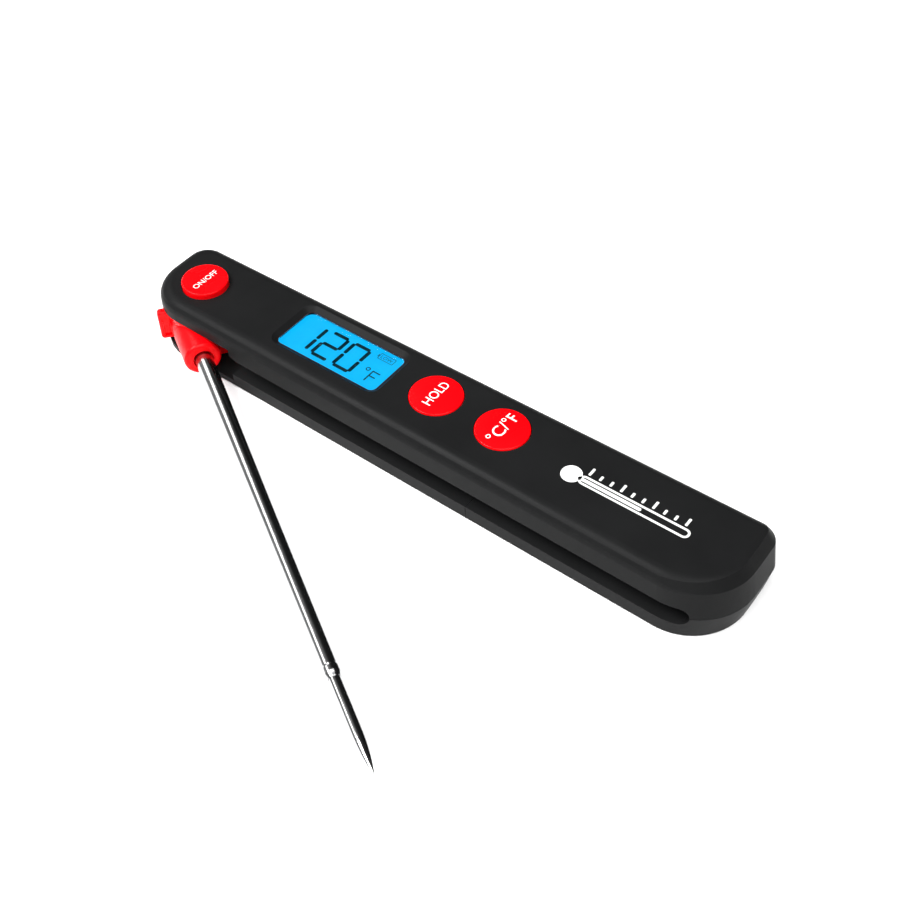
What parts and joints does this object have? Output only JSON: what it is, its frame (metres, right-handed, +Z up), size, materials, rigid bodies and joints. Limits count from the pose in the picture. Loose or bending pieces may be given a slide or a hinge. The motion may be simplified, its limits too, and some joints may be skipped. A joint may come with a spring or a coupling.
{
  "type": "folding meat thermometer",
  "caption": "Folding digital meat thermometer: slim black case with a slot, red hinge hub and buttons, lit display window and a pointed steel probe that swings out",
  "frame": {"origin": "the probe's pivot axis, on the underside that the case rests on", "axes": "+X towards the butt end, -Y the side with the probe slot, +Z up through the display"},
  "size_m": [0.1587, 0.0875, 0.0182],
  "materials": {
    "case_black": "satin moulded, slightly grained",
    "gloss_red": "glossy moulded",
    "probe_steel": "polished stainless",
    "sensor_epoxy": "epoxy bead",
    "lead_insulation": "insulated wire",
    "plated_steel": "nickel plated",
    "inner_plastic": "moulded",
    "white_nylon": "moulded, translucent white",
    "switch_plastic": "moulded",
    "circuit_board": "green solder mask",
    "flat_cable": "laminated",
    "ceramic_parts": "ceramic",
    "clear_window": "clear, polished",
    "display_glass": "lit blue display",
    "contact_rubber": "striped silicone",
    "battery_can": "sleeved can"
  },
  "bodies": {
    "case": {"top_cover": "case_black", "bottom_cover": "case_black", "lead_loop": "lead_insulation", "battery_leads": "lead_insulation", "pivot_axle": "plated_steel", "pivot_screw": "plated_steel", "drag_washer": "plated_steel", "case_screws": "plated_steel", "plate_screws": "plated_steel", "positive_contact": "plated_steel", "negative_contact": "plated_steel", "battery_spring": "plated_steel", "pivot_plate": "inner_plastic", "display_frame": "inner_plastic", "hub_washer": "white_nylon", "lcd_backlight": "white_nylon", "switch_bodies": "switch_plastic", "controller_chip": "switch_plastic", "main_board": "circuit_board", "power_board": "circuit_board", "power_link": "flat_cable", "small_parts": "ceramic_parts", "display_window": "clear_window", "lcd_panel": "display_glass", "contact_strips": "contact_rubber", "battery": "battery_can"},
    "probe": {"probe_hub": "gloss_red", "probe_tube": "probe_steel", "probe_tip": "probe_steel", "sensor_bead": "sensor_epoxy", "sensor_leads": "lead_insulation"},
    "power_key": {"power_button": "gloss_red", "power_plunger": "switch_plastic"},
    "hold_key": {"hold_button": "gloss_red", "hold_plunger": "switch_plastic"},
    "unit_key": {"unit_button": "gloss_red", "unit_plunger": "switch_plastic"},
    "battery_door": {"battery_cover": "case_black"}
  },
  "joints": [
    {"name": "probe_fold", "type": "hinge", "parent": "case", "child": "probe", "pos_m": [0, 0, 0.00683], "axis": [0, 0, 1], "range_deg": [-149, 31]},
    {"name": "power_press", "type": "slide", "parent": "case", "child": "power_key", "axis": [0, 0, -1], "range_m": [0, 0.00035], "stiffness_N_per_m": 2000},
    {"name": "hold_press", "type": "slide", "parent": "case", "child": "hold_key", "axis": [0, 0, -1], "range_m": [0, 0.00035], "stiffness_N_per_m": 2000},
    {"name": "unit_press", "type": "slide", "parent": "case", "child": "unit_key", "axis": [0, 0, -1], "range_m": [0, 0.00035], "stiffness_N_per_m": 2000},
    {"name": "battery_door_slide", "type": "slide", "parent": "case", "child": "battery_door", "axis": [1, 0, 0], "range_m": [0, 0.072]}
  ]
}
